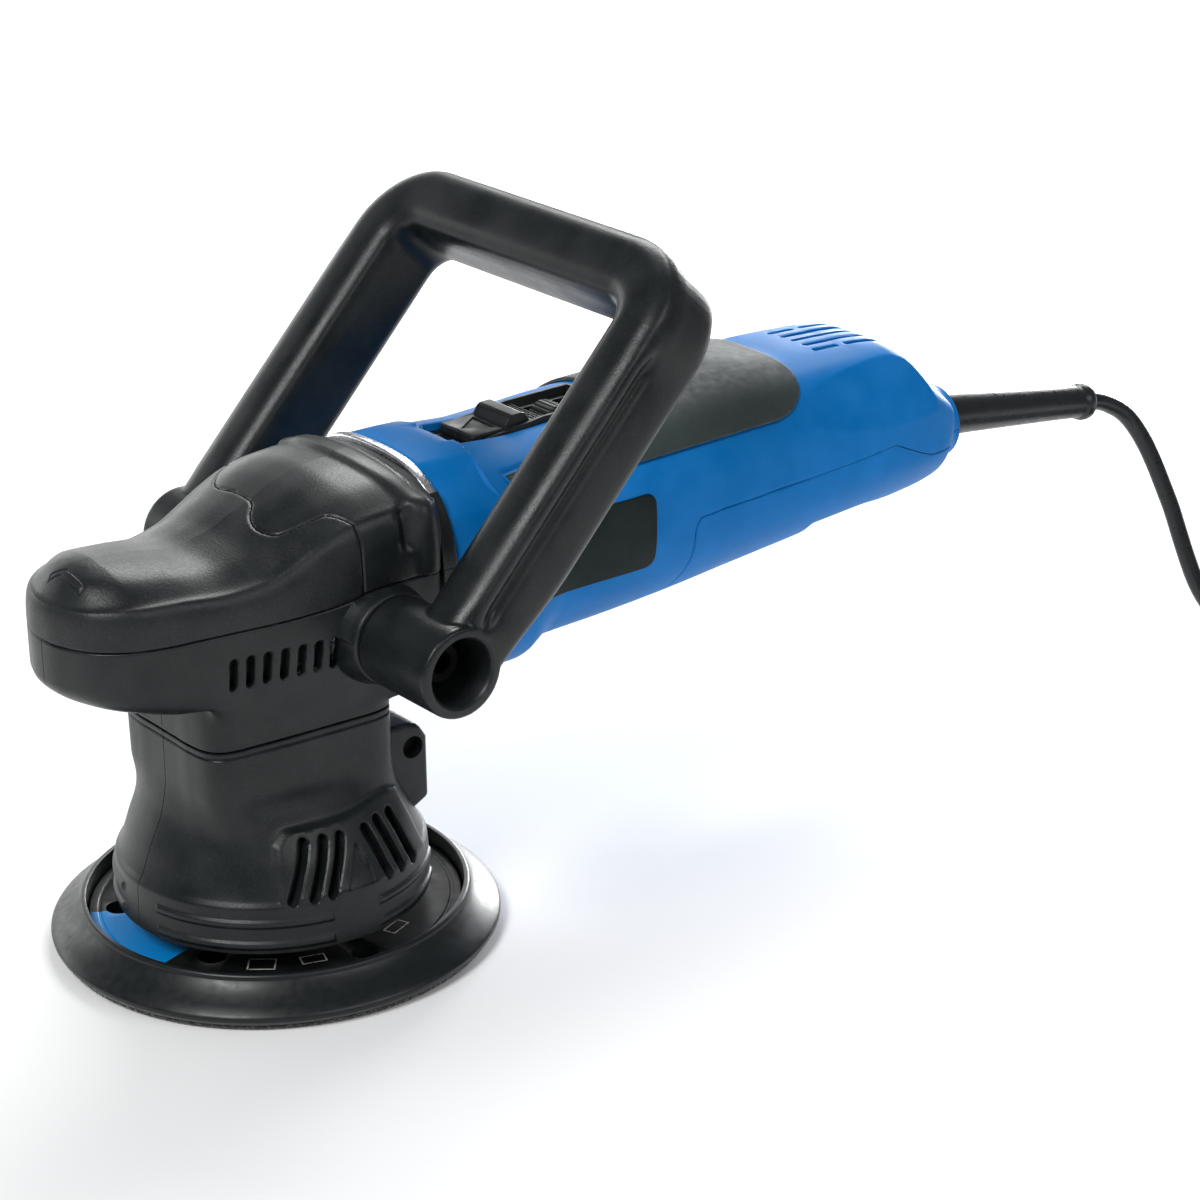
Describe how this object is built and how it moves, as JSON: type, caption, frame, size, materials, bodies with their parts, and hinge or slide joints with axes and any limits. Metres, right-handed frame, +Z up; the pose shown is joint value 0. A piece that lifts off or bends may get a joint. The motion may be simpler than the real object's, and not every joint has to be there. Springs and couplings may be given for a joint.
{
  "type": "dual action polisher",
  "caption": "Corded dual action car polisher: round backing pad on an eccentric spindle, gear head, tilting D-handle, blue barrel motor housing and a mains lead wound in a coil.",
  "frame": {"origin": "on the spindle's axis, in the plane of the hook facing that the tool stands on", "axes": "+X from the gear head to the cord, +Z up, away from the work, y = 0 is the tool's mirror plane"},
  "size_m": [0.5758, 0.234, 0.2277],
  "materials": {
    "blue_housing": "satin moulded plastic",
    "black_housing": "satin moulded plastic",
    "soft_cover": "soft-touch with a fine grain",
    "handle_plastic": "fine spark texture",
    "rubber_grip": "matte",
    "label": "smooth, blank",
    "switch_plastic": "matte",
    "inner_plastic": "matte",
    "cast_aluminium": "cast and machined",
    "steel": "machined",
    "laminated_steel": "stacked sheets",
    "copper": "copper",
    "brass": "polished",
    "carbon": "pressed carbon",
    "circuit": "potted circuit board",
    "pad_foam": "moulded polyurethane",
    "pad_disc": "printed, with a blue mark",
    "hook_fabric": "hook fastener",
    "cord_rubber": "smooth sheath",
    "tie_strap": "hook-and-loop strap",
    "plug_plastic": "moulded"
  },
  "bodies": {
    "root": {"motor_housing": "blue_housing", "rear_lower_cover": "blue_housing", "gearbox_cover": "black_housing", "head_shell_left": "black_housing", "head_shell_right": "black_housing", "hood_left": "black_housing", "hood_right": "black_housing", "palm_cover": "soft_cover", "grip_overmould": "rubber_grip", "label_plate_left": "label", "label_plate_right": "label", "switch_bezel": "switch_plastic", "power_switch": "switch_plastic", "rear_bearing_bridge": "inner_plastic", "cord_clamp": "inner_plastic", "bearing_flange": "cast_aluminium", "gear_case": "cast_aluminium", "hood_screw": "steel", "handle_bolt_left": "steel", "handle_bolt_right": "steel", "handle_washer_left": "steel", "handle_washer_right": "steel", "armature_bearing_front": "steel", "armature_bearing_rear": "steel", "spindle_bearing_upper": "steel", "spindle_bearing_lower": "steel", "stator_core": "laminated_steel", "field_coil_upper": "copper", "field_coil_lower": "copper", "brush_holder_left": "brass", "brush_holder_right": "brass", "plug_pin_earth": "brass", "plug_pin_live": "brass", "plug_pin_neutral": "brass", "carbon_brush_left": "carbon", "carbon_brush_right": "carbon", "control_module": "circuit", "mains_cord": "cord_rubber", "cord_coil": "cord_rubber", "strain_relief": "cord_rubber", "coil_tie": "tie_strap", "plug_body": "plug_plastic"},
    "armature": {"armature_shaft": "steel", "armature_core": "laminated_steel", "commutator": "copper", "cooling_fan": "inner_plastic", "pinion": "steel"},
    "spindle": {"spindle": "steel", "bevel_wheel": "steel", "eccentric_hub": "cast_aluminium", "counterweight": "steel"},
    "pad": {"pad_bearing": "steel", "pad_hub": "steel", "backing_pad": "pad_foam", "pad_plate": "pad_disc", "hook_facing": "hook_fabric", "pad_bolt": "steel"},
    "handle": {"d_handle": "handle_plastic"},
    "switch": {"switch_slider": "switch_plastic"},
    "dial": {"speed_dial": "switch_plastic"}
  },
  "joints": [
    {"name": "spindle_spin", "type": "hinge", "parent": "root", "child": "spindle", "pos_m": [0, 0, 0.06], "axis": [0, 0, 1], "continuous": true},
    {"name": "armature_spin", "type": "hinge", "parent": "root", "child": "armature", "pos_m": [0.05, 0, 0.121], "axis": [1, 0, 0], "continuous": true},
    {"name": "pad_spin", "type": "hinge", "parent": "spindle", "child": "pad", "pos_m": [0.0025, 0.0031, 0.01], "axis": [0, 0, 1], "continuous": true},
    {"name": "handle_tilt", "type": "hinge", "parent": "root", "child": "handle", "pos_m": [0.021, 0, 0.114], "axis": [0, 1, 0], "range_deg": [-55, 12]},
    {"name": "switch_slide", "type": "slide", "parent": "root", "child": "switch", "axis": [-1, 0, 0], "range_m": [0, 0.0045]},
    {"name": "dial_turn", "type": "hinge", "parent": "root", "child": "dial", "pos_m": [0.119, 0, 0.1516], "axis": [0, 1, 0], "range_deg": [0, 270]}
  ],
  "couplings": [
    {"joint": "armature_spin", "follows": "spindle_spin", "ratio": 4}
  ]
}
